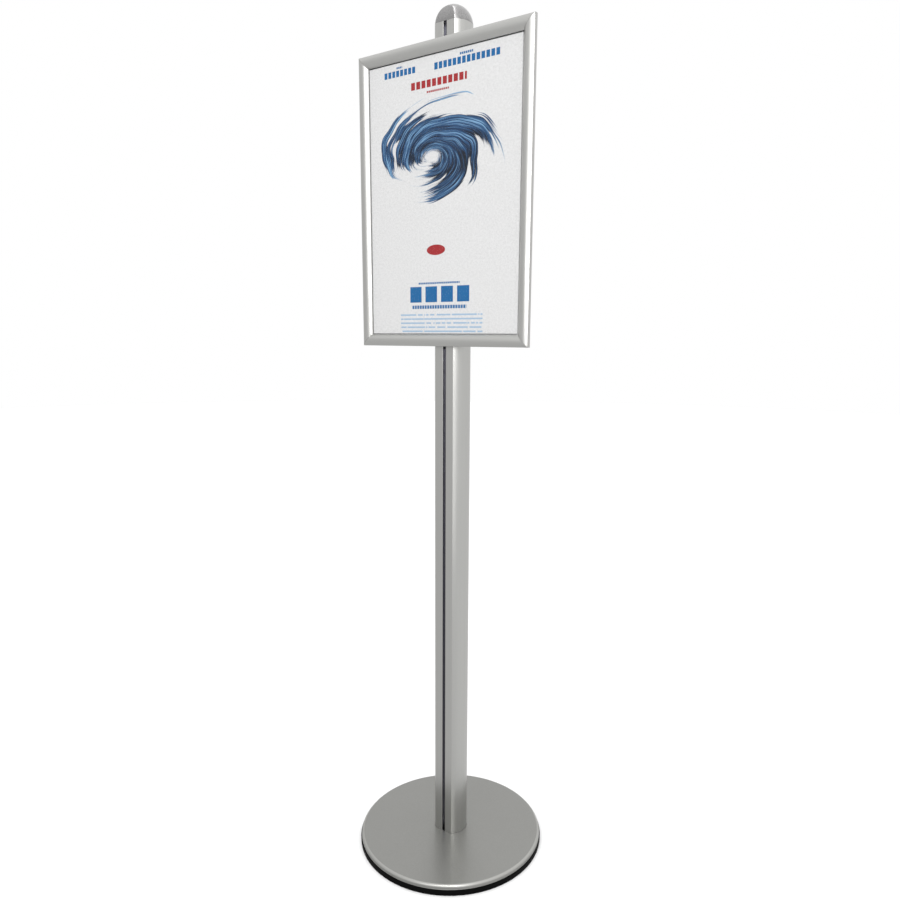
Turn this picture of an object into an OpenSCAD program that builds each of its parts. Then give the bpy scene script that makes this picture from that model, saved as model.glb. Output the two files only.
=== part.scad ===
// Sign stand for a museum or an exhibition: a heavy round foot, a slotted
// aluminium post with a domed cap, and a portrait snap frame for an A2 sheet.
// The frame is clamped to the post's front slot and can be moved up and down.
// Each of its four domed front rails hinges open at its outer edge.
// Millimetres, +Z up. The origin is on the floor at the post's axis, and the
// sheet faces -Y.

/* [Foot] */
// Diameter of the black ring that stands on the floor
foot_d = 460; // [420:1:500]
// Height of the black ring
ring_h = 13.8; // [12:0.1:16]
// Height of the top of the silver cover above the floor
foot_h = 25; // [23.5:0.5:30]
// Radius of the cover's rolled shoulder
shoulder_r = 7.5; // [5:0.5:9]
// Thickness of the steel plate that weighs the foot down
plate_t = 10; // [8:0.5:10]

/* [Post] */
// Diameter of the post across its round sides
post_d = 81; // [78:0.5:84]
// Distance from the post's axis to its flat front and back
flat_y = 32.7; // [31:0.1:34]
// Height of the post's top end above the floor
post_top = 1902; // [1700:1:2100]
// Width of the mouth of each T-slot
slot_mouth = 8; // [7:0.1:9]
// Width of the T-slot behind its lips
slot_inner = 16; // [15:0.5:18]
// Depth of the T-slot behind its lips
slot_depth = 9.2; // [8.5:0.1:10]

/* [Snap frame] */
// Width of the frame over its side rails
frame_w = 450; // [430:1:470]
// Height of the frame over its top and bottom rails
frame_h = 626; // [610:1:650]
// Height of the frame's bottom edge above the floor
frame_z = 1240; // [900:1:1240]
// Width of a rail as seen from the front
rail_w = 26; // [26:1:28]
// Distance from the post's axis to the frame's back
frame_back = 41.6; // [40:0.1:44]
// Radius of a front rail's domed face
dome_r = 17; // [17:0.5:18]
// Wall thickness of a front rail
snap_t = 1.5; // [1.2:0.1:1.8]

/* [Sheets] */
// Width of the printed sheet, A2
sheet_w = 420; // [410:1:420]
// Height of the printed sheet, A2
sheet_h = 594; // [580:1:594]
// Thickness of the back panel
panel_t = 2; // [1.5:0.1:2]
// Thickness of the printed sheet with its liner
paper_t = 0.3; // [0.2:0.1:0.4]
// Thickness of the clear cover sheet
clear_t = 0.8; // [0.5:0.1:0.8]

/* [Hidden] */
// ---- foot ----
foot_r = foot_d / 2;
lip_t = 2;                       // rubber under the plate's edge
lip_w = 18;                      // how far that rubber reaches inwards
plate_r = foot_r - 8;
plate_top = lip_t + plate_t;
cover_r = foot_r - 2.2;
cover_t = 1.5;
hem_r = 0.9;                     // rolled lower edge of the cover
hem_out = 0.3;                   // how far that edge stands out
disc_hole_r = post_d / 2 + 1;
disc_gap = 3.3;                  // between the board and the cover's shoulder
disc_r = cover_r - shoulder_r - disc_gap;
cover_gap = 0.3;                 // cover hole round the post
ring_edge_r = 1.2;
plate_fit = 0.2;                 // gap between the plate and the ring

// ---- post ----
post_r = post_d / 2;
wall = 2.5;
web = 2.2;
mouth_chamfer = 0.6;
port = [25, 18];                 // screw ports, in all four quarters
port_r = 6.5;
port_hole_r = 3.5;
port_web = 4;
cap_sink = 1.5;                  // the dome's centre lies this far below the post's top
cap_t = 2.5;
arch_over = 16;                  // the arches would meet this far above the crown
arch_h = post_r - cap_sink + arch_over;
arch_y = (pow(arch_h, 2) - pow(flat_y, 2)) / (2 * flat_y);
arch_r = flat_y + arch_y;
peg_r = 3.4;
peg_len = 14;
bolt_r = 4;                      // M8
bolt_gap = 0.25;                 // hole clearance in the plate
bolt_core_r = 3.4;
bolt_head_r = 8;
bolt_head_h = 4.4;
bolt_grip = 26;                  // length screwed into the post
socket_r = 2.9;                  // hexagon socket, across corners
socket_depth = 3;

// ---- rail sections: a runs inwards from the outer edge, b forwards from the back ----
floor_w = rail_w - 2;
floor_t = 1.6;
rim_t = 2.6;                     // outer wall
rim_gap = 0.3;                   // between that wall and the front rail
bead_r = 0.95;                   // hinge bead along the front rail's outer edge
bead_skin = 0.05;                // the domed face stands this far off the bead
bead_fit = 0.04;                 // and runs this far from the groove
bead_inset = 0.35;
bead_end = 4;                    // the bead stops this far from the corners
pivot_a = bead_inset + bead_r;
dome_a = 11.7;                   // centre of the domed face
dome_b = -4.2;
pivot_b = dome_b + sqrt(pow(dome_r - bead_r - bead_skin, 2) - pow(dome_a - pivot_a, 2));
groove_drop = 0.5;               // the wall ends this far behind the bead's axis
rim_h = pivot_b - groove_drop;
rib_a = 12.4;                    // rib that stops the sheets' edges
rib_t = 1.4;
rib_h = 5;
lip_b = 4.9;                     // where the front rail's lip ends, just off the clear sheet
mitre_gap = 0.25;
panel_play = 0.4;
panel_w = frame_w - 2 * (rib_a + rib_t) - panel_play;
panel_h = frame_h - 2 * (rib_a + rib_t) - panel_play;
clear_margin = 1;                // the clear sheet is this much smaller than the panel
channel_a = (rim_t + rib_a) / 2; // middle of the channel for keys, springs and screws

// ---- corner keys, springs, clamps ----
key_w = 8;
key_t = 1.8;
key_leg = 38;
rivet_r = 1.6;
rivet_gap = 0.1;
rivet_head_r = 2.8;
rivet_head_h = 0.8;
rivet_at = 27;                   // from the corner, on both legs
spring_w = 6;
spring_t = 0.6;
spring_r = 20;
spring_top = 9;
spring_share = 0.27;             // springs sit this share of the rail's length from its middle
block = [64, 22];                // spacer block, width and height
block_gap = 0.1;                 // running gap to the post's flat front
block_inset = 1;                 // from the rail's outer edge
nut = [14.6, 6, 25];             // T-nut
nut_gap = 0.1;
screw_r = 2.95;                  // M6
screw_hole_r = 3.2;
screw_head_r = 4.6;
screw_head_h = 2.6;
screw_socket_r = 2.2;            // hexagon socket, across corners
screw_socket_depth = 1.5;
nut_thread_gap = 0.05;
screw_tip = 22;                  // distance of the screw's end from the post's axis

// ---------------------------------------------------------------- foot

// Black rubber ring: an upright band round the foot, with a lip turned in under the plate
module base_ring() {
    color([0.03, 0.03, 0.03]) rotate_extrude($fn = 180) {
        translate([plate_r, 0]) square([foot_r - ring_edge_r - plate_r, ring_h]);
        translate([plate_r, ring_edge_r]) square([foot_r - plate_r, ring_h - 2 * ring_edge_r]);
        for (z = [ring_edge_r, ring_h - ring_edge_r])
            translate([foot_r - ring_edge_r, z]) circle(r = ring_edge_r, $fn = 32);
        translate([foot_r - lip_w, 0]) square([lip_w - ring_edge_r, lip_t]);
    }
}

// Steel plate, drilled and countersunk from below for the post's bolts
module base_plate() {
    color([0.16, 0.16, 0.17]) difference() {
        translate([0, 0, lip_t]) cylinder(r = plate_r - plate_fit, h = plate_t, $fn = 180);
        at_ports() {
            cylinder(r = bolt_r + bolt_gap, h = foot_h, $fn = 48);
            translate([0, 0, lip_t])
                cylinder(r1 = bolt_head_r + bolt_gap, r2 = bolt_r + bolt_gap, h = bolt_head_h, $fn = 48);
        }
    }
}

// Board that fills the space between the plate and the cover
module spacer_disc() {
    color([0.72, 0.58, 0.40]) difference() {
        translate([0, 0, plate_top]) cylinder(r = disc_r, h = foot_h - cover_t - plate_top, $fn = 180);
        cylinder(r = disc_hole_r, h = foot_h, $fn = 96);
    }
}

// Half section of the cover, without its thickness
module cover_half(r, top, corner) {
    square([r - corner, top]);
    square([r, top - corner]);
    translate([r - corner, top - corner]) circle(r = corner, $fn = 96);
}

// Pressed silver cover with a rolled shoulder, a rolled lower edge and a hole for the post
module base_cover() {
    color([0.66, 0.66, 0.64]) difference() {
        rotate_extrude($fn = 180) {
            difference() {
                cover_half(cover_r, foot_h, shoulder_r);
                cover_half(cover_r - cover_t, foot_h - cover_t, shoulder_r - cover_t);
                square([foot_r, ring_h]);
            }
            translate([cover_r - hem_r + hem_out, ring_h + hem_r]) circle(r = hem_r, $fn = 32);
        }
        linear_extrude(foot_h * 2) post_outline(cover_gap);
    }
}

// Countersunk socket screws that pull the post down onto the plate
module base_bolts() {
    color([0.55, 0.55, 0.57]) at_ports() difference() {
        union() {
            translate([0, 0, lip_t]) cylinder(r1 = bolt_head_r, r2 = bolt_r, h = bolt_head_h, $fn = 48);
            translate([0, 0, lip_t]) cylinder(r = bolt_r, h = plate_t, $fn = 48);
            translate([0, 0, lip_t]) cylinder(r = bolt_core_r, h = plate_t + bolt_grip, $fn = 48);
        }
        translate([0, 0, lip_t - 1]) cylinder(r = socket_r, h = socket_depth + 1, $fn = 6);
    }
}

// ---------------------------------------------------------------- post

module at_ports() {
    for (x = [-1, 1], y = [-1, 1]) translate([x * port[0], y * port[1], 0]) children();
}

// Outline of the post: a circle with a flat front and back
module post_outline(grow = 0) {
    intersection() {
        circle(r = post_r + grow, $fn = 180);
        square([post_d * 2, 2 * (flat_y + grow)], center = true);
    }
}

// One T-slot, cut into the front when side is -1 and into the back when it is 1
module t_slot(side) {
    mirror([0, side < 0 ? 1 : 0]) {
        translate([-slot_mouth / 2, flat_y - wall - 1]) square([slot_mouth, wall + 2]);
        translate([-slot_inner / 2, flat_y - wall - slot_depth]) square([slot_inner, slot_depth]);
        translate([0, flat_y]) for (edge = [-1, 1])
            translate([edge * slot_mouth / 2, 0]) rotate(45)
                square(mouth_chamfer * sqrt(2), center = true);
    }
}

// Section of the extrusion: outer wall, two slot housings, four screw ports
module post_section() {
    difference() {
        union() {
            difference() {
                post_outline();
                post_outline(-wall);
            }
            intersection() {
                post_outline();
                union() {
                    for (side = [-1, 1])
                        translate([0, side * (flat_y - (wall + slot_depth + web) / 2)])
                            square([slot_inner + 2 * web, wall + slot_depth + web], center = true);
                    for (x = [-1, 1], y = [-1, 1])
                        translate([x * port[0], y * port[1]]) {
                            circle(r = port_r, $fn = 64);
                            rotate(atan2(y * port[1], x * port[0]))
                                translate([0, -port_web / 2]) square([post_r, port_web]);
                        }
                }
            }
        }
        t_slot(-1);
        t_slot(1);
        for (x = [-1, 1], y = [-1, 1])
            translate([x * port[0], y * port[1]]) circle(r = port_hole_r, $fn = 48);
    }
}

module post() {
    color([0.78, 0.78, 0.77]) translate([0, 0, plate_top])
        linear_extrude(post_top - plate_top) post_section();
}

// Wide arch that bounds the dome at the front when side is -1 and at the back when it is 1
module cap_arch(side, inset) {
    translate([0, -side * arch_y, post_top]) rotate([0, 90, 0])
        cylinder(r = arch_r - inset, h = 3 * post_r, center = true, $fn = 180);
}

// Solid dome: a sphere between two arches, so that its front and back lean in to the crown
module cap_dome(inset = 0) {
    intersection() {
        translate([0, 0, post_top - cap_sink]) sphere(r = post_r - inset, $fn = 180);
        cap_arch(-1, inset);
        cap_arch(1, inset);
        translate([0, 0, post_top + inset]) cylinder(r = post_d, h = post_d, $fn = 48);
    }
}

// Hollow cap with the post's outline, held by four pegs pushed into the screw ports
module post_cap() {
    color([0.66, 0.66, 0.65]) {
        difference() {
            cap_dome();
            cap_dome(cap_t);
        }
        at_ports() translate([0, 0, post_top - peg_len])
            cylinder(r = peg_r, h = peg_len + cap_t / 2, $fn = 48);
    }
}

// ---------------------------------------------------------------- snap frame

// Puts a shape drawn for the bottom rail, middle at the origin, on the side at this angle
module on_side(angle) {
    half = abs(angle) == 90 ? frame_w / 2 : frame_h / 2;
    translate([0, -frame_back, frame_z + frame_h / 2]) rotate([0, angle, 0])
        translate([0, 0, -half]) children();
}

// Runs a section along X, with a turned up and b turned forwards
module run_section(length) {
    translate([-length / 2, 0, 0]) rotate([0, -90, 180]) linear_extrude(length) children();
}

// The same with both ends mitred
module mitred_rail(length, gap) {
    intersection() {
        run_section(length) children();
        rotate([90, 0, 0]) linear_extrude(4 * rail_w, center = true) polygon([
            [-length / 2 + gap, 0], [length / 2 - gap, 0],
            [length / 2 - gap - 2 * rail_w, 2 * rail_w], [-length / 2 + gap + 2 * rail_w, 2 * rail_w]
        ]);
    }
}

// Base rail: floor, outer wall with the hinge groove, and the rib at the sheets' edges
module rail_section() {
    difference() {
        union() {
            square([floor_w, floor_t]);
            square([rim_t, rim_h]);
            translate([rib_a, 0]) square([rib_t, rib_h]);
        }
        translate([pivot_a, pivot_b]) circle(r = bead_r + bead_skin + bead_fit, $fn = 48);
    }
}

// Front rail without its hinge bead: the domed face, from the bead to the inner lip
module snap_section() {
    difference() {
        intersection() {
            difference() {
                translate([dome_a, dome_b]) circle(r = dome_r, $fn = 180);
                translate([dome_a, dome_b]) circle(r = dome_r - snap_t, $fn = 180);
            }
            translate([0, lip_b]) square([rail_w, 2 * dome_r]);
        }
        square([rim_t + rim_gap, pivot_b]);
        translate([pivot_a, pivot_b])
            rotate(atan2(pivot_b - dome_b, pivot_a - dome_a)) square(2 * rim_t);
    }
}

// Holes across a base rail's floor: the clamp screw in the middle, the rivets at both ends
module rail_holes(length, clamp) {
    rotate([90, 0, 0]) {
        if (clamp) translate([0, channel_a, 0])
            cylinder(r = screw_hole_r, h = rail_w, center = true, $fn = 48);
        for (side = [-1, 1]) translate([side * (length / 2 - rivet_at), channel_a, 0])
            cylinder(r = rivet_r + rivet_gap, h = rail_w, center = true, $fn = 32);
    }
}

module base_rail(angle, length, clamp) {
    color([0.74, 0.74, 0.73]) on_side(angle) difference() {
        mitred_rail(length, 0) rail_section();
        rail_holes(length, clamp);
    }
}

module snap_rail(angle, length) {
    color([0.80, 0.80, 0.79]) on_side(angle) {
        mitred_rail(length, mitre_gap) snap_section();
        run_section(length - 2 * bead_end) translate([pivot_a, pivot_b]) circle(r = bead_r, $fn = 48);
    }
}

module rail_top() { base_rail(180, frame_w, true); }
module rail_bottom() { base_rail(0, frame_w, true); }
module rail_left() { base_rail(90, frame_h, false); }
module rail_right() { base_rail(-90, frame_h, false); }
module snap_top() { snap_rail(180, frame_w); }
module snap_bottom() { snap_rail(0, frame_w); }
module snap_left() { snap_rail(90, frame_h); }
module snap_right() { snap_rail(-90, frame_h); }

// Mirrors a shape drawn for the lower left corner to all four corners
module at_corners() {
    translate([0, -frame_back, frame_z + frame_h / 2])
        for (x = [0, 1], z = [0, 1]) mirror([x, 0, 0]) mirror([0, 0, z])
            translate([-frame_w / 2, 0, -frame_h / 2]) children();
}

// L-shaped keys that join the base rails at the mitres
module corner_keys() {
    low = channel_a - key_w / 2;
    color([0.62, 0.62, 0.64]) at_corners() translate([0, -floor_t, 0]) rotate([90, 0, 0]) difference() {
        linear_extrude(key_t) union() {
            translate([low, low]) square([key_leg, key_w]);
            translate([low, low]) square([key_w, key_leg]);
        }
        for (p = [[rivet_at, channel_a], [channel_a, rivet_at]])
            translate([p[0], p[1], -1]) cylinder(r = rivet_r + rivet_gap, h = key_t + 2, $fn = 32);
    }
}

// Blind rivets through the rails' floors and the keys
module corner_rivets() {
    color([0.58, 0.58, 0.60]) at_corners()
        for (p = [[rivet_at, channel_a], [channel_a, rivet_at]])
            translate([p[0], 0, p[1]]) rotate([90, 0, 0]) {
                cylinder(r = rivet_r, h = floor_t + key_t, $fn = 32);
                translate([0, 0, floor_t + key_t]) cylinder(r = rivet_head_r, h = rivet_head_h, $fn = 32);
            }
}

// Arched leaf springs, two to a rail, that keep the front rails shut
module snap_spring() {
    translate([0, 0, channel_a]) intersection() {
        translate([0, spring_r - spring_top, 0]) difference() {
            cylinder(r = spring_r, h = spring_w, center = true, $fn = 120);
            cylinder(r = spring_r - spring_t, h = spring_w + 1, center = true, $fn = 120);
        }
        translate([-spring_r, -spring_top - 1, -spring_w])
            cube([2 * spring_r, spring_top + 1 - floor_t, 2 * spring_w]);
    }
}

module snap_springs() {
    color([0.45, 0.46, 0.48])
        for (side = [[0, frame_w], [180, frame_w], [90, frame_h], [-90, frame_h]])
            on_side(side[0]) for (end = [-1, 1])
                translate([end * side[1] * spring_share, 0, 0]) snap_spring();
}

// A flat sheet centred in the frame, its back this far in front of the frame's back
module flat_sheet(width, height, thickness, back) {
    translate([-width / 2, -frame_back - back - thickness, frame_z + (frame_h - height) / 2])
        cube([width, thickness, height]);
}

module back_panel() {
    color([0.86, 0.86, 0.84]) flat_sheet(panel_w, panel_h, panel_t, floor_t);
}

module poster() {
    color([0.93, 0.93, 0.93]) flat_sheet(sheet_w, sheet_h, paper_t, floor_t + panel_t);
}

module cover_sheet() {
    color([0.85, 0.90, 0.95, 0.3])
        flat_sheet(panel_w - clear_margin, panel_h - clear_margin, clear_t, floor_t + panel_t + paper_t);
}

// ---------------------------------------------------------------- clamps

// Height of the clamp screws at the top and bottom rails
clamp_high = frame_z + frame_h - channel_a;
clamp_low = frame_z + channel_a;

// Puts a shape on a clamp screw's axis, with +Z of the shape pointing back into the post
module at_clamp(z) {
    translate([0, -frame_back, z]) rotate([-90, 0, 0]) children();
}

// Spacer block between the rail's floor and the flat front of the post
module block(z, edge) {
    low = edge > 0 ? z + channel_a - block_inset - block[1] : z - channel_a + block_inset;
    color([0.10, 0.10, 0.11]) difference() {
        translate([-block[0] / 2, -frame_back, low])
            cube([block[0], frame_back - flat_y - block_gap, block[1]]);
        at_clamp(z) translate([0, 0, -1]) cylinder(r = screw_hole_r, h = 2 * screw_tip, $fn = 48);
    }
}

module clamp_nut(z) {
    color([0.60, 0.60, 0.62]) difference() {
        translate([-nut[0] / 2, -flat_y + wall + nut_gap, z - nut[2] / 2]) cube(nut);
        at_clamp(z) cylinder(r = screw_r + nut_thread_gap, h = 2 * screw_tip, $fn = 48);
    }
}

module clamp_screw(z) {
    color([0.52, 0.52, 0.55]) at_clamp(z) {
        translate([0, 0, -floor_t]) cylinder(r = screw_r, h = frame_back + floor_t - screw_tip, $fn = 48);
        translate([0, 0, -floor_t - screw_head_h]) difference() {
            cylinder(r = screw_head_r, h = screw_head_h, $fn = 48);
            translate([0, 0, -1]) cylinder(r = screw_socket_r, h = screw_socket_depth + 1, $fn = 6);
        }
    }
}

module block_upper() { block(clamp_high, 1); }
module block_lower() { block(clamp_low, -1); }
module nut_upper() { clamp_nut(clamp_high); }
module nut_lower() { clamp_nut(clamp_low); }
module clamp_screw_upper() { clamp_screw(clamp_high); }
module clamp_screw_lower() { clamp_screw(clamp_low); }

base_ring();
base_plate();
spacer_disc();
base_cover();
base_bolts();
post();
post_cap();
rail_top();
rail_bottom();
rail_left();
rail_right();
corner_keys();
corner_rivets();
snap_springs();
back_panel();
poster();
cover_sheet();
block_upper();
block_lower();
nut_upper();
nut_lower();
clamp_screw_upper();
clamp_screw_lower();
snap_top();
snap_bottom();
snap_left();
snap_right();
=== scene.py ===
"""Looks of the sign stand: materials, printed sheet, light and camera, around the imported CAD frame."""
import math

import bmesh
import bpy
from mathutils import Matrix, Vector


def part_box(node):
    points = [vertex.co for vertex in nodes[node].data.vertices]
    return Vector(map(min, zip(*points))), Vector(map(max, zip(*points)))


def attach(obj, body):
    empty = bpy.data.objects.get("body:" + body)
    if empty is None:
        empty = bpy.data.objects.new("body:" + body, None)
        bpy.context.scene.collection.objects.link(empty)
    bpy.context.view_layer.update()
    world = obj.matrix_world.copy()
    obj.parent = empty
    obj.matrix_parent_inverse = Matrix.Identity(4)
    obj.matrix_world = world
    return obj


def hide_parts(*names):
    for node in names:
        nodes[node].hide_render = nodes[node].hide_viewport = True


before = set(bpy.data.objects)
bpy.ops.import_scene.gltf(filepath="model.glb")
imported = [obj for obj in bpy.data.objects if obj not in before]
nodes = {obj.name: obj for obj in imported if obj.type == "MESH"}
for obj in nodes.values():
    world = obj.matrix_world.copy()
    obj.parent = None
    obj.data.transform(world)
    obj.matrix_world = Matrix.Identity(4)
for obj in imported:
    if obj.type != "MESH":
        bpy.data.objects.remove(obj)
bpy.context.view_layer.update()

MM = 0.001


# ---------------------------------------------------------------- node maths

class Value:
    """A number inside a node tree. Arithmetic on it adds Math nodes."""

    def __init__(self, tree, socket):
        self.tree = tree
        self.socket = socket

    def math(self, operation, *others):
        node = self.tree.nodes.new("ShaderNodeMath")
        node.operation = operation
        for slot, value in zip(node.inputs, (self, *others)):
            connect(self.tree, slot, value)
        return Value(self.tree, node.outputs[0])

    def __add__(self, other):
        return self.math("ADD", other)

    def __sub__(self, other):
        return self.math("SUBTRACT", other)

    def __mul__(self, other):
        return self.math("MULTIPLY", other)

    def __truediv__(self, other):
        return self.math("DIVIDE", other)

    def __radd__(self, other):
        return self + other

    def __rsub__(self, other):
        return (self * -1.0) + other

    def __neg__(self):
        return self * -1.0

    def absolute(self):
        return self.math("ABSOLUTE")

    def cosine(self):
        """The cosine of a number of turns."""
        return (self * math.tau).math("COSINE")

    def sine(self):
        return (self * math.tau).math("SINE")

    def power(self, exponent):
        return self.math("POWER", exponent)

    def least(self, other):
        return self.math("MINIMUM", other)

    def most(self, other):
        return self.math("MAXIMUM", other)

    def step(self, low, high):
        """0 below low, 1 above high and smooth between them. low may be the larger one."""
        node = self.tree.nodes.new("ShaderNodeMapRange")
        node.interpolation_type = "SMOOTHSTEP"
        connect(self.tree, node.inputs["Value"], self)
        for name, value in (("From Min", low), ("From Max", high), ("To Min", 0.0), ("To Max", 1.0)):
            connect(self.tree, node.inputs[name], value)
        return Value(self.tree, node.outputs[0])

    def span(self, low, high):
        """Maps 0..1 to low..high."""
        return self * (high - low) + low


def connect(tree, slot, value):
    """Puts a constant on a socket or links a node output to it."""
    if isinstance(value, Value):
        tree.links.new(value.socket, slot)
    elif isinstance(value, bpy.types.NodeSocket):
        tree.links.new(value, slot)
    else:
        slot.default_value = value


class Surface:
    """One procedural material: a Principled shader and the textures that feed it."""

    def __init__(self, name, **shader):
        self.material = bpy.data.materials.new(name)
        self.material.use_nodes = True
        self.tree = self.material.node_tree
        self.shader = self.tree.nodes["Principled BSDF"]
        for slot, value in shader.items():
            self.set(slot.replace("_", " "), value)

    def set(self, slot, value):
        names = {"Specular": "Specular IOR Level", "Coat": "Coat Weight"}
        connect(self.tree, self.shader.inputs[names.get(slot, slot)], value)

    def place(self):
        """The point being shaded, in the row frame: x, y and z in metres."""
        coord = self.tree.nodes.new("ShaderNodeTexCoord")
        split = self.tree.nodes.new("ShaderNodeSeparateXYZ")
        self.tree.links.new(coord.outputs["Object"], split.inputs[0])
        return [Value(self.tree, socket) for socket in split.outputs]

    def join(self, x, y, z=0.0):
        node = self.tree.nodes.new("ShaderNodeCombineXYZ")
        for slot, value in zip(node.inputs, (x, y, z)):
            connect(self.tree, slot, value)
        return node.outputs[0]

    def noise(self, vector, scale=1.0, detail=2.0, rough=0.5, fourth=None):
        """Fractal noise, about 0.5 on average. fourth is the coordinate along a fourth axis."""
        node = self.tree.nodes.new("ShaderNodeTexNoise")
        if fourth is not None:
            node.noise_dimensions = "4D"
            connect(self.tree, node.inputs["W"], fourth)
        self.tree.links.new(vector, node.inputs["Vector"])
        node.inputs["Scale"].default_value = scale
        node.inputs["Detail"].default_value = detail
        node.inputs["Roughness"].default_value = rough
        return Value(self.tree, node.outputs[0])

    def cells(self, vector, scale):
        """A random grey for each cell of a fine grain."""
        node = self.tree.nodes.new("ShaderNodeTexVoronoi")
        self.tree.links.new(vector, node.inputs["Vector"])
        node.inputs["Scale"].default_value = scale
        split = self.tree.nodes.new("ShaderNodeSeparateColor")
        self.tree.links.new(node.outputs["Color"], split.inputs[0])
        return Value(self.tree, split.outputs[0])

    def mix(self, factor, first, second):
        """first where factor is 0, second where it is 1. Colours are RGB tuples or outputs."""
        node = self.tree.nodes.new("ShaderNodeMix")
        node.data_type = "RGBA"
        connect(self.tree, node.inputs["Factor"], factor)
        for slot, value in ((node.inputs["A"], first), (node.inputs["B"], second)):
            connect(self.tree, slot, (*value, 1.0) if isinstance(value, tuple) else value)
        return node.outputs["Result"]

    def bump(self, height, depth, strength=1.0):
        """height runs from 0 to 1, and depth is its size in metres."""
        node = self.tree.nodes.new("ShaderNodeBump")
        node.inputs["Strength"].default_value = strength
        node.inputs["Distance"].default_value = depth
        connect(self.tree, node.inputs["Height"], height)
        self.tree.links.new(node.outputs[0], self.shader.inputs["Normal"])


# ---------------------------------------------------------------- metals

SLOT_LIP = 32.7 * MM                   # the post's flats, where the slots open
SLOT_HALF = 9.0 * MM                   # half the width of the painted shade inside the slots
# painted shade: the grey that the inside of the post's slots is darkened to
SLOT_SHADE = (0.30, 0.30, 0.33)
LINE_SCALE, BAND_SCALE = (2600.0, 2.5), (240.0, 0.8)   # grain across and along the profile
RIM_START, RIM_END = 221.5 * MM, 20.5 * MM             # radius and height that bound the painted highlight on the cover's rim


def extruded(name, colour, along, roughness, streak=0.05, anisotropy=0.35, slotted=False):
    """Satin anodised aluminium with faint die lines along one axis. A slot's inside is painted darker as
    shade.
    """
    made = Surface(name, Metallic=1.0, Anisotropic=anisotropy)
    place = made.place()
    lines = made.join(*[c * LINE_SCALE[axis == along] for axis, c in zip("XYZ", place)])
    broad = made.join(*[c * BAND_SCALE[axis == along] for axis, c in zip("XYZ", place)])
    fine = made.noise(lines, detail=3.0)
    band = made.noise(broad, detail=2.0)
    cloud = made.noise(made.join(*place), scale=9.0, detail=4.0)
    tone = fine * 0.5 + band * 0.35 + cloud * 0.15
    dark = tuple(c * (1.0 - streak) for c in colour)
    finish = made.mix(tone.step(0.3, 0.7), dark, colour)
    if slotted:
        # painted shade: deeper than its lips, the inside of a slot is mixed towards a darker grey
        depth = place[1].absolute().step(SLOT_LIP - 0.4 * MM, SLOT_LIP - 2.6 * MM)
        width = place[0].absolute().step(SLOT_HALF + 0.5 * MM, SLOT_HALF - 0.5 * MM)
        finish = made.mix(depth * width, finish, SLOT_SHADE)
    made.set("Base Color", finish)
    made.set("Roughness", (tone + (cloud - 0.5) * 0.6).span(roughness - 0.06, roughness + 0.06))
    made.bump(fine, 0.02 * MM, 0.35)
    return made


def lacquered(name, colour, roughness, flake=0.10, peel=0.02, coat=0.0, metallic=0.9, rolled=False):
    """Silver lacquer: fine flakes under a slightly uneven film. With rolled set, the rolled rim gets a
    painted highlight.
    """
    made = Surface(name, Metallic=metallic, Coat=coat, Coat_Roughness=0.10)
    point = made.join(*made.place())
    flakes = made.cells(point, 2600.0)
    mottle = made.noise(point, scale=420.0, detail=3.0, rough=0.7)
    cloud = made.noise(point, scale=14.0, detail=4.0)
    dark = tuple(c * (1.0 - flake) for c in colour)
    tone = flakes * 0.3 + (mottle - 0.5) * 1.6 + cloud * 0.4 + 0.1
    finish = made.mix(tone.step(0.0, 1.0), dark, colour)
    if rolled:
        x, y, z = made.place()
        reach = (x * x + y * y).power(0.5)
        # painted highlight: the outer top of the rolled rim is drawn 1.35 times brighter
        rim = reach.step(RIM_START, RIM_START + 1.5 * MM) * z.step(RIM_END - 0.8 * MM, RIM_END + 0.8 * MM)
        finish = made.mix(rim, finish, tuple(c * 1.35 for c in colour))
    made.set("Base Color", finish)
    made.set("Roughness", (cloud * 0.6 + flakes * 0.4).span(roughness - 0.05, roughness + 0.05))
    made.bump(made.noise(point, scale=1500.0, detail=2.0), peel * MM, 0.4)
    return made


def plated(name, colour, roughness):
    """Zinc-plated, blackened or tempered steel for screws, nuts, keys and springs."""
    made = Surface(name, Metallic=1.0)
    point = made.join(*made.place())
    spangle = made.noise(point, scale=320.0, detail=5.0, rough=0.65)
    dull = tuple(c * 0.72 for c in colour)
    made.set("Base Color", made.mix(spangle.step(0.35, 0.7), dull, colour))
    made.set("Roughness", spangle.span(roughness - 0.08, roughness + 0.12))
    made.bump(spangle, 0.03 * MM, 0.5)
    return made


# ---------------------------------------------------------------- plastics, rubber, board

def moulded(name, colour, roughness, grain=700.0, depth=0.02, shine=0.4):
    """Plastic or rubber with a fine moulded grain."""
    made = Surface(name, Specular=shine)
    point = made.join(*made.place())
    skin = made.noise(point, scale=grain, detail=3.0)
    scuff = made.noise(point, scale=24.0, detail=5.0, rough=0.6)
    pale = tuple(c + 0.04 * (1.0 - c) * shine for c in colour)
    made.set("Base Color", made.mix(scuff.step(0.5, 0.85), colour, pale))
    made.set("Roughness", scuff.span(roughness - 0.08, roughness + 0.08))
    made.bump(skin, depth * MM, 0.6)
    return made


def chipboard(name):
    """Board of pressed wood chips."""
    made = Surface(name, Roughness=0.85)
    point = made.join(*made.place())
    chips = made.cells(point, 320.0)
    dust = made.noise(point, scale=900.0, detail=4.0)
    made.set("Base Color", made.mix(chips * 0.7 + dust * 0.3, (0.26, 0.17, 0.10), (0.62, 0.48, 0.31)))
    made.bump(chips, 0.15 * MM, 0.6)
    return made


def clear_film(name):
    """Thin anti-glare sheet over the print."""
    return Surface(name, Base_Color=(0.15, 0.15, 0.16, 1.0), Roughness=0.30, Alpha=0.02, Specular=0.5)


# ---------------------------------------------------------------- the printed sheet

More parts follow.
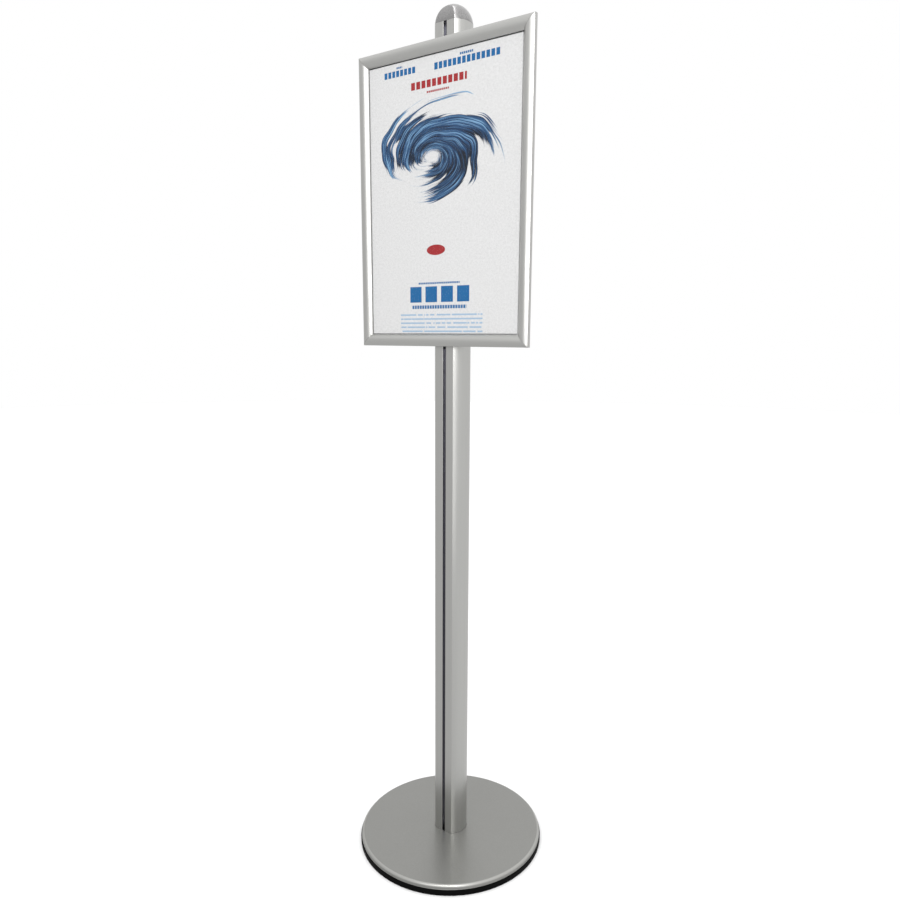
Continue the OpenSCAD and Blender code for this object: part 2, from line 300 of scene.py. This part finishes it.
PAPER = (0.62, 0.62, 0.62)
INK_NAVY = (0.003, 0.007, 0.016)
INK_BLUE = (0.014, 0.060, 0.155)
INK_SKY = (0.165, 0.320, 0.490)
INK_TITLE = (0.004, 0.100, 0.270)
INK_RED = (0.290, 0.015, 0.018)
INK_PALE = (0.220, 0.360, 0.520)
SHADE = (0.010, 0.010, 0.011)

# Places on the print are in millimetres from the middle of the sheet.
SWIRL_X, SWIRL_Z = -26.0, 84.0         # the eye of the swirl
SWIRL_REACH = 176.0                    # its half width
SWIRL_FLAT = 1.55                      # how much wider than high it is
SPOT_X, SPOT_Z = -14.0, -106.0
SPOT_WIDE, SPOT_HIGH = 25.0, 11.0      # half its width and height
ROWS = (                               # left, right, base, height, pitch of the blocks, ink
    (-154.0, -66.0, 258.0, 12.5, 11.0, INK_TITLE),
    (-120.0, -104.0, 273.5, 4.0, 5.0, INK_TITLE),
    (-18.0, 147.0, 255.0, 13.5, 11.8, INK_TITLE),
    (47.0, 80.0, 272.0, 4.5, 5.0, INK_TITLE),
    (-80.0, 65.0, 224.0, 15.0, 14.0, INK_RED),
    (-38.0, 20.0, 213.0, 4.0, 5.0, INK_RED),
    (-86.0, 77.0, -217.0, 34.0, 43.0, INK_TITLE),
    (-80.0, 68.0, -231.0, 7.5, 7.0, INK_TITLE),
    (-62.0, 50.0, -178.0, 4.0, 5.0, INK_TITLE),
)
BLOCK_PART = 0.75                      # how much of its pitch a block fills
LINES_LEFT, LINES_RIGHT = -114.0, 110.0
LINES_LOW, LINE_PITCH, LINE_COUNT = -284.0, 9.0, 5
LIP_WIDE, LIP_HIGH = 199.0, 287.0      # where the lips of the front rails end
LIP_SHADE = 2.8                        # width of the dark line that they leave on the sheet
LIP_COVERS = 1.5                       # how far that line goes on under the lips


def swirl(made, x, z, paper):
    """A breaking wave as a round brush would sweep it: curling strands that fray at both ends."""
    sway = made.noise(made.join(x * 0.012, z * 0.012), detail=1.0) - 0.5
    px = x - SWIRL_X + sway * 46.0
    pz = (z - SWIRL_Z) * SWIRL_FLAT + sway * 30.0
    radius = (px * px + pz * pz + 1.0).power(0.5) / SWIRL_REACH
    turn = pz.math("ARCTAN2", px) / math.tau
    grow = radius.math("LOGARITHM", math.e)
    lane = grow * 0.62 + turn
    side, up = lane.cosine(), lane.sine()
    east, north = turn.cosine(), turn.sine()

    def strands(count, along, shift, detail):
        """Noise that is long along the strands. It closes on itself after a whole turn."""
        wide = count / math.tau
        place = made.join(side * wide, up * wide, east * along)
        return made.noise(place, detail=detail, fourth=north * along + grow * (along * 0.6) + shift)

    lock = strands(11.0, 0.8, 3.0, 1.0)
    hair = strands(70.0, 1.4, 11.0, 2.0)
    wisp = strands(150.0, 1.0, 27.0, 1.0)
    brush = hair * 0.55 + wisp * 0.25 + lock * 0.6
    outer = 0.80 + (lock - 0.5) * 1.1 + (turn - 0.18).cosine() * 0.10
    inner = 0.10 + (lock - 0.5) * 0.25
    reach = (outer - radius) * 2.6
    start = (radius - inner) * 5.0
    open_side = (0.90 - (turn + 0.36).cosine()) * 1.9 + (radius - 0.3) * -0.6
    ink = (reach.least(start).least(open_side) + (brush - 0.70) * 2.2).step(0.0, 0.16)
    tone = (lock - 0.5) * 1.6 + (hair - 0.5) * 2.0 + (wisp - 0.5) * 1.0 + 0.42
    tone = tone + (turn - 0.3).cosine() * 0.10
    shade = made.mix(tone.step(0.25, 0.62), INK_NAVY, INK_BLUE)
    shade = made.mix(tone.step(0.60, 1.00), shade, INK_SKY)
    return made.mix(ink, paper, shade)


def bar(x, z, left, right, low, high, soft=0.3):
    """1 inside a rectangle, all in millimetres."""
    sides = x.step(left - soft, left + soft) * x.step(right + soft, right - soft)
    return sides * z.step(low - soft, low + soft) * z.step(high + soft, high - soft)


def dashes(made, x, row, length):
    """Blocks of uneven length with gaps between, where a row of small print would be."""
    cut = made.noise(made.join(x / length, row * 7.31), detail=1.0, scale=1.0)
    return cut.step(0.36, 0.40)


def beside_lip(reach, lip):
    """1 from the start of the shade of a lip outwards, all in millimetres."""
    return reach.step(lip - LIP_SHADE, lip - LIP_SHADE + 0.8)


def oval(x, z, wide, high):
    """1 inside an ellipse round 0, 0 with these half axes."""
    across, along = x / wide, z / high
    return (across * across + along * along).power(0.5).step(1.02, 0.98)


def lip_shade(x, z):
    """The dark line along the lips of the front rails, deepest at the top."""
    low = beside_lip(-z, LIP_HIGH) * 0.62
    top = beside_lip(z, LIP_HIGH) * 0.93
    sides = beside_lip(x.absolute(), LIP_WIDE) * 0.62
    end_x = x.absolute().step(LIP_WIDE + LIP_COVERS, LIP_WIDE + LIP_COVERS - 0.8)
    end_z = z.absolute().step(LIP_HIGH + LIP_COVERS, LIP_HIGH + LIP_COVERS - 0.8)
    return low.most(top).most(sides) * end_x * end_z


def small_print(made, x, z):
    """Broken lines in the place of the small print."""
    height = (z - LINES_LOW) / LINE_PITCH
    row = height.math("FLOOR")
    part = height - row
    line = part.step(0.20, 0.26) * part.step(0.66, 0.60) * dashes(made, x, row, 9.0)
    return line * bar(x, z, LINES_LEFT, LINES_RIGHT, LINES_LOW, LINES_LOW + LINE_COUNT * LINE_PITCH)


def poster_print(name):
    """Off-white paper with an abstract swirl, a red spot and plain bars. Nothing on it can be read."""
    made = Surface(name, Roughness=0.60, Specular=0.3)
    low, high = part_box("poster")
    middle = (low + high) / 2
    point_x, _, point_z = made.place()
    x = (point_x - middle.x) / MM
    z = (point_z - middle.z) / MM
    grain = made.noise(made.join(x, z), scale=0.22, detail=4.0, rough=0.8)
    colour = made.mix(grain.step(0.32, 0.66), tuple(c * 0.86 for c in PAPER), PAPER)
    colour = swirl(made, x, z, colour)
    colour = made.mix(oval(x - SPOT_X, z - SPOT_Z, SPOT_WIDE, SPOT_HIGH), colour, INK_RED)
    for left, right, base, height, pitch, ink in ROWS:
        along = (x - left) / pitch
        block = (along - along.math("FLOOR")).step(BLOCK_PART + 0.01, BLOCK_PART - 0.01)
        colour = made.mix(bar(x, z, left, right, base, base + height) * block, colour, ink)
    colour = made.mix(small_print(made, x, z) * 0.8, colour, INK_PALE)
    made.set("Base Color", made.mix(lip_shade(x, z), colour, SHADE))
    made.bump(grain, 0.01 * MM, 0.4)
    return made


# ---------------------------------------------------------------- dress the CAD nodes

post_metal = extruded("post_metal", (0.50, 0.50, 0.485), "Z", 0.34, slotted=True)
rail_flat = extruded("rail_along_x", (0.52, 0.52, 0.505), "X", 0.34)
rail_tall = extruded("rail_along_z", (0.52, 0.52, 0.505), "Z", 0.34)
zinc = plated("zinc", (0.62, 0.62, 0.64), 0.34)
blackened = plated("blackened_steel", (0.05, 0.05, 0.055), 0.42)
black_plastic = moulded("black_plastic", (0.012, 0.012, 0.013), 0.5)

LOOKS = {
    "base_ring": moulded("ring_rubber", (0.001, 0.001, 0.001), 0.65, grain=500.0, depth=0.03, shine=0.06),
    "base_plate": moulded("plate_primer", (0.020, 0.020, 0.022), 0.6, grain=260.0, depth=0.05),
    "spacer_disc": chipboard("board"),
    # rolled=True paints a highlight onto the cover's rolled rim
    "base_cover": lacquered("cover_lacquer", (0.275, 0.275, 0.262), 0.34, metallic=0.8, coat=0.35,
                            rolled=True),
    "base_bolts": zinc,
    "post": post_metal,
    "post_cap": lacquered("cap_lacquer", (0.36, 0.355, 0.355), 0.30, flake=0.40, coat=0.6),
    "rail_top": rail_flat,
    "rail_bottom": rail_flat,
    "rail_left": rail_tall,
    "rail_right": rail_tall,
    "snap_top": rail_flat,
    "snap_bottom": rail_flat,
    "snap_left": rail_tall,
    "snap_right": rail_tall,
    "corner_keys": zinc,
    "corner_rivets": zinc,
    "snap_springs": plated("spring", (0.40, 0.40, 0.42), 0.3),
    "back_panel": moulded("panel_plastic", (0.62, 0.62, 0.60), 0.55, grain=400.0),
    "poster": poster_print("print"),
    "cover_sheet": clear_film("clear_film"),
    "block_upper": black_plastic,
    "block_lower": black_plastic,
    "nut_upper": blackened,
    "nut_lower": blackened,
    "clamp_screw_upper": blackened,
    "clamp_screw_lower": blackened,
}

for name, look in LOOKS.items():
    slots = nodes[name].data.materials
    slots.clear()
    slots.append(look.material)


# ---------------------------------------------------------------- edges

def soften(name, body, look, radius, segments=2, sharp=33.0):
    """Shows a copy of a CAD node with its sharp outer edges rolled over."""
    mesh = nodes[name].data.copy()
    shape = bmesh.new()
    shape.from_mesh(mesh)
    bmesh.ops.remove_doubles(shape, verts=shape.verts, dist=0.01 * MM)
    bmesh.ops.dissolve_degenerate(shape, dist=0.01 * MM, edges=shape.edges)
    bmesh.ops.dissolve_limit(shape, angle_limit=math.radians(0.05), verts=shape.verts, edges=shape.edges)
    limit = math.radians(sharp)
    edges = [e for e in shape.edges if e.is_manifold and e.is_convex and e.calc_face_angle(0) > limit]
    bmesh.ops.bevel(shape, geom=edges, offset=radius, offset_type="OFFSET", segments=segments,
                    profile=0.5, affect="EDGES", clamp_overlap=True, harden_normals=False)
    shape.to_mesh(mesh)
    shape.free()
    mesh.materials.clear()
    mesh.materials.append(look.material)
    for face in mesh.polygons:
        face.use_smooth = True
    piece = bpy.data.objects.new(name + "_soft", mesh)
    bpy.context.scene.collection.objects.link(piece)
    mesh.set_sharp_from_angle(angle=math.radians(50))
    piece.modifiers.new("normals", "WEIGHTED_NORMAL").keep_sharp = True
    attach(piece, body)
    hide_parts(name)


SOFT_EDGES = (                         # node, body, material slot, radius in mm
    ("post", "stand", "post_anodised", 0.35),
    ("post_cap", "stand", "cap_silver", 1.6),
    ("rail_top", "sign_frame", "rail_anodised", 0.25),
    ("rail_bottom", "sign_frame", "rail_anodised", 0.25),
    ("rail_left", "sign_frame", "rail_anodised", 0.25),
    ("rail_right", "sign_frame", "rail_anodised", 0.25),
    ("snap_top", "top_snap_rail", "snap_anodised", 0.3),
    ("snap_bottom", "bottom_snap_rail", "snap_anodised", 0.3),
    ("snap_left", "left_snap_rail", "snap_anodised", 0.3),
    ("snap_right", "right_snap_rail", "snap_anodised", 0.3),
)

for name, body, slot, radius in SOFT_EDGES:
    soften(name, body, LOOKS[name], radius * MM)


def lift_clear_sheet(gap):
    """The clear sheet with a thin layer of air behind it, so that no two surfaces lie in one plane."""
    low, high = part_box("cover_sheet")
    mesh = bpy.data.meshes.new("cover_sheet_lifted")
    shape = bmesh.new()
    bmesh.ops.create_cube(shape, size=1.0)
    for corner in shape.verts:
        part = corner.co + Vector((0.5, 0.5, 0.5))
        corner.co = Vector((low.x + part.x * (high.x - low.x),
                            low.y + part.y * (high.y - gap - low.y),
                            low.z + part.z * (high.z - low.z)))
    shape.to_mesh(mesh)
    shape.free()
    mesh.materials.append(LOOKS["cover_sheet"].material)
    piece = bpy.data.objects.new("cover_sheet_lifted", mesh)
    bpy.context.scene.collection.objects.link(piece)
    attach(piece, "sign_frame")
    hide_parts("cover_sheet")


lift_clear_sheet(0.2 * MM)


# ---------------------------------------------------------------- camera

FRONT_TURN = math.radians(34.04)      # the camera stands this far to the right of the sheet's normal
PITCH = math.radians(11.288)          # looking down
ROLL = math.radians(0.518)
SIDE_STEP = 0.0442                    # the camera's place across its own view of the post, metres
DISTANCE = 1.7354                     # from the post's axis
HEIGHT = 1.2533
LENS = 29.95                          # millimetres
SHIFT = (-0.02325, 0.04448)           # of the image's width


def make_camera():
    """Places the camera and returns its level direction of view and its right."""
    across = Vector((math.cos(FRONT_TURN), math.sin(FRONT_TURN), 0))
    level = Vector((-math.sin(FRONT_TURN), math.cos(FRONT_TURN), 0))
    ahead = level * math.cos(PITCH) - Vector((0, 0, math.sin(PITCH)))
    up = level * math.sin(PITCH) + Vector((0, 0, math.cos(PITCH)))
    right = across * math.cos(ROLL) + up * math.sin(ROLL)
    top = up * math.cos(ROLL) - across * math.sin(ROLL)
    camera = bpy.data.objects.new("camera", bpy.data.cameras.new("camera"))
    camera.data.lens = LENS
    camera.data.shift_x, camera.data.shift_y = SHIFT
    turn = Matrix((right, top, -ahead)).transposed().to_4x4()
    place = across * SIDE_STEP - level * DISTANCE + Vector((0, 0, HEIGHT))
    camera.matrix_world = Matrix.Translation(place) @ turn
    bpy.context.scene.collection.objects.link(camera)
    bpy.context.scene.camera = camera
    return level, across


level, across = make_camera()


# ---------------------------------------------------------------- studio

ROOM_GREY, ROOM_UP, ROOM_RIGHT = 0.73, 0.32, 0.20      # the room in reflections, and what is added to it


def around(turn, distance, height):
    """A place round the post: degrees to the right of the camera, then metres out and up."""
    return Matrix.Rotation(math.radians(turn), 3, "Z") @ -level * distance + Vector((0, 0, height))


def area_light(name, place, aim, size, power, gloss=True, diffuse=True):
    """A soft box. gloss and diffuse say whether it shows in shiny and lights dull surfaces."""
    light = bpy.data.lights.new(name, "AREA")
    light.shape = "RECTANGLE"
    light.size, light.size_y = size
    light.energy = power
    lamp = bpy.data.objects.new(name, light)
    lamp.location = place
    lamp.visible_camera = False
    lamp.visible_glossy = gloss
    lamp.visible_diffuse = diffuse
    lamp.rotation_euler = (Vector(aim) - Vector(place)).to_track_quat("-Z", "Y").to_euler()
    bpy.context.scene.collection.objects.link(lamp)


def make_ceiling():
    """The wide soft light of a white ceiling, from straight above."""
    light = bpy.data.lights.new("ceiling", "SUN")
    light.energy = 1.0
    light.angle = math.radians(70)
    lamp = bpy.data.objects.new("ceiling", light)
    lamp.visible_glossy = False
    bpy.context.scene.collection.objects.link(lamp)


def make_floor():
    """A wide plain floor that runs out into the white of the room."""
    bpy.ops.mesh.primitive_circle_add(vertices=96, radius=14.0, fill_type="NGON", location=(0, 0, 0))
    floor = bpy.context.object
    floor.name = "floor"
    made = Surface("pale_floor", Roughness=0.75, Specular=0.2)
    cloud = made.noise(made.join(*made.place()), scale=3.0, detail=4.0)
    made.set("Base Color", made.mix(cloud, (0.80, 0.80, 0.80), (0.82, 0.82, 0.82)))
    floor.data.materials.append(made.material)
    floor.visible_glossy = False           # the metal mirrors the even grey of the room instead


def make_world():
    """A pale room: white to look at, greyer in reflections, brighter above and to the right."""
    world = bpy.data.worlds.new("room")
    bpy.context.scene.world = world
    world.use_nodes = True
    tree = world.node_tree
    back = tree.nodes["Background"]
    back.inputs["Color"].default_value = (1, 1, 1, 1)
    coord = tree.nodes.new("ShaderNodeTexCoord")

    def towards(direction):
        node = tree.nodes.new("ShaderNodeVectorMath")
        node.operation = "DOT_PRODUCT"
        tree.links.new(coord.outputs["Generated"], node.inputs[0])
        node.inputs[1].default_value = direction
        return Value(tree, node.outputs["Value"])

    up = towards((0, 0, 1)).step(0.05, 0.85)
    right = towards(across).step(-0.6, 1.0)
    room = ROOM_GREY + up * ROOM_UP + right * ROOM_RIGHT
    path = tree.nodes.new("ShaderNodeLightPath")
    seen = Value(tree, path.outputs["Is Camera Ray"])
    connect(tree, back.inputs["Strength"], room * (1.0 - seen) + seen)


bpy.context.scene.view_settings.view_transform = "Standard"
make_floor()
make_world()
make_ceiling()

area_light("key", around(-7, 2.1, 2.25), (0, 0, 1.75), (2.3, 1.7), 22)
area_light("high strip", around(7, 2.2, 2.7), (0, 0, 1.7), (0.16, 2.0), 9, diffuse=False)
area_light("low strip", around(13, 2.2, 0.85), (0, 0, 0.85), (0.42, 1.2), 2.6, diffuse=False)
area_light("rim strip", around(0, 1.2, 1.45), (0, 0, 0), (0.5, 0.12), 3.2, diffuse=False)
area_light("crown strip", around(7, 0.8, 3.9), around(7, 0.6, 0), (0.16, 2.6), 7, diffuse=False)
area_light("front fill", around(-28, 2.8, 1.7), (0, 0, 1.5), (1.5, 1.5), 8, gloss=False)
